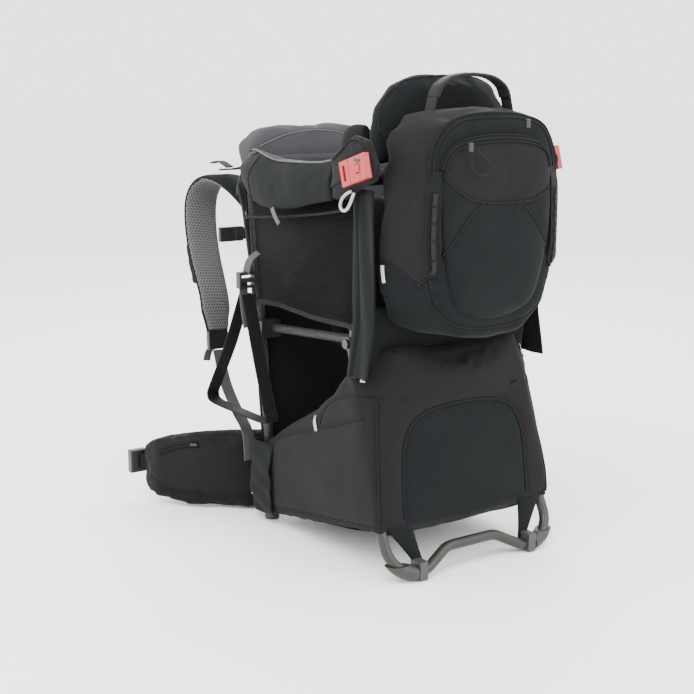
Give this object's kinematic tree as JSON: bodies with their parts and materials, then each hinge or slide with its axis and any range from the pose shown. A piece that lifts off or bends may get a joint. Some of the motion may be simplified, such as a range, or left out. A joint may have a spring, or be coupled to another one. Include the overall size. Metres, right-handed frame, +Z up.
{
  "type": "framed child carrier backpack",
  "caption": "Framed baby carrier backpack with folding kickstand, padded cockpit, adjustable harness, hipbelt and detachable daypack.",
  "frame": {"origin": "on the floor, under the middle of the carrier's box", "axes": "+Z up, +Y towards the wearer (harness side), +X to the wearer's right"},
  "size_m": [0.586, 0.6679, 0.73],
  "materials": {
    "tube": "satin",
    "hardware": "satin",
    "olive_plastic": "satin",
    "grey_plastic": "satin",
    "steel": "satin",
    "ripstop": "matte",
    "dark_fabric": "matte",
    "mesh": "matte",
    "lining": "matte",
    "strap_mesh": "matte",
    "webbing_dark": "matte",
    "webbing_grey": "matte",
    "cord_light": "matte",
    "cord_dark": "matte",
    "coral": "satin"
  },
  "bodies": {
    "frame": {"main_frame": "tube", "frame_crossbars": "tube", "seat_frame": "tube", "frame_clamps": "hardware", "rear_stays": "tube", "frame_feet": "olive_plastic", "kickstand_brackets": "hardware", "kickstand_pins": "steel", "base_compartment": "ripstop", "base_sides": "dark_fabric", "gussets": "dark_fabric", "back_panel": "mesh", "lumbar_pad": "mesh", "side_mesh_left": "mesh", "side_mesh_right": "mesh", "rear_sides": "dark_fabric", "cockpit_rims": "dark_fabric", "rim_corners": "ripstop", "drool_pad": "lining", "headrest": "dark_fabric", "side_buckle_left": "coral", "side_buckle_right": "coral", "lower_straps": "webbing_grey", "load_lifters": "webbing_dark", "side_pull_left": "cord_light", "side_pull_right": "cord_light"},
    "kickstand": {"kickstand_tube": "tube", "kickstand_feet": "olive_plastic", "gusset_clips": "grey_plastic"},
    "harness": {"harness_yoke": "dark_fabric", "shoulder_strap_left": "strap_mesh", "shoulder_strap_right": "strap_mesh", "strap_pocket": "dark_fabric", "strap_ends": "hardware", "sternum_buckle": "hardware", "sternum_webbing": "webbing_dark"},
    "sternum_plug": {"sternum_tongue": "hardware"},
    "hipbelt_left": {"hip_wing_left": "dark_fabric", "hip_buckle_left": "hardware"},
    "hipbelt_right": {"hip_wing_right": "dark_fabric", "hip_buckle_right": "hardware"},
    "seat": {"child_seat": "dark_fabric", "seat_back_pad": "lining", "child_straps": "webbing_dark", "child_buckle": "hardware"},
    "side_plug_left": {"side_tongue_left": "coral"},
    "side_plug_right": {"side_tongue_right": "coral"},
    "button_left": {"side_button_left": "coral"},
    "button_right": {"side_button_right": "coral"},
    "stirrup_left": {"stirrup_loop_left": "webbing_dark", "stirrup_lock_left": "hardware"},
    "stirrup_right": {"stirrup_loop_right": "webbing_dark", "stirrup_lock_right": "hardware"},
    "daypack": {"daypack": "ripstop", "front_pocket": "ripstop", "zips": "hardware", "zip_pulls": "hardware", "daisy_chains": "webbing_dark", "pocket_pull": "cord_dark"},
    "handle": {"haul_handle": "webbing_dark"}
  },
  "joints": [
    {"name": "kickstand_fold", "type": "hinge", "parent": "frame", "child": "kickstand", "pos_m": [0, -0.17835, 0.34], "axis": [1, 0, 0], "range_deg": [0, 20], "deforming": ["gussets"]},
    {"name": "torso_adjust", "type": "slide", "parent": "frame", "child": "harness", "axis": [0, 0.1075, 0.9942], "range_m": [-0.1, 0.03], "deforming": ["lower_straps", "load_lifters"]},
    {"name": "sternum_release", "type": "slide", "parent": "harness", "child": "sternum_plug", "axis": [1, 0, 0], "range_m": [0, 0.02], "deforming": ["sternum_webbing"]},
    {"name": "hipbelt_left_swing", "type": "hinge", "parent": "frame", "child": "hipbelt_left", "pos_m": [-0.122, 0.12965, 0.06], "axis": [0, 0, 1], "range_deg": [-35, 15]},
    {"name": "hipbelt_right_swing", "type": "hinge", "parent": "frame", "child": "hipbelt_right", "pos_m": [0.122, 0.12965, 0.06], "axis": [0, 0, 1], "range_deg": [-15, 35]},
    {"name": "seat_height", "type": "slide", "parent": "frame", "child": "seat", "axis": [0, 0, 1], "range_m": [-0.015, 0.05]},
    {"name": "side_release_left", "type": "slide", "parent": "frame", "child": "side_plug_left", "axis": [0, 0.9613, -0.2756], "range_m": [0, 0.032]},
    {"name": "side_release_right", "type": "slide", "parent": "frame", "child": "side_plug_right", "axis": [0, 0.9613, -0.2756], "range_m": [0, 0.032]},
    {"name": "button_left_press", "type": "slide", "parent": "frame", "child": "button_left", "axis": [1, 0, 0], "range_m": [0, 0.0015], "stiffness_N_per_m": 400},
    {"name": "button_right_press", "type": "slide", "parent": "frame", "child": "button_right", "axis": [-1, 0, 0], "range_m": [0, 0.0015], "stiffness_N_per_m": 400},
    {"name": "stirrup_left_swing", "type": "hinge", "parent": "frame", "child": "stirrup_left", "pos_m": [-0.186, 0.07065, 0.418], "axis": [0, 1, 0], "range_deg": [0, 60]},
    {"name": "stirrup_right_swing", "type": "hinge", "parent": "frame", "child": "stirrup_right", "pos_m": [0.186, 0.07065, 0.418], "axis": [0, 1, 0], "range_deg": [-60, 0]},
    {"name": "daypack_removal", "type": "slide", "parent": "frame", "child": "daypack", "axis": [0, -1, 0], "range_m": [0, 0.3]},
    {"name": "haul_handle_tilt", "type": "hinge", "parent": "daypack", "child": "handle", "pos_m": [0, -0.25035, 0.698], "axis": [1, 0, 0], "range_deg": [-8, 75]}
  ]
}
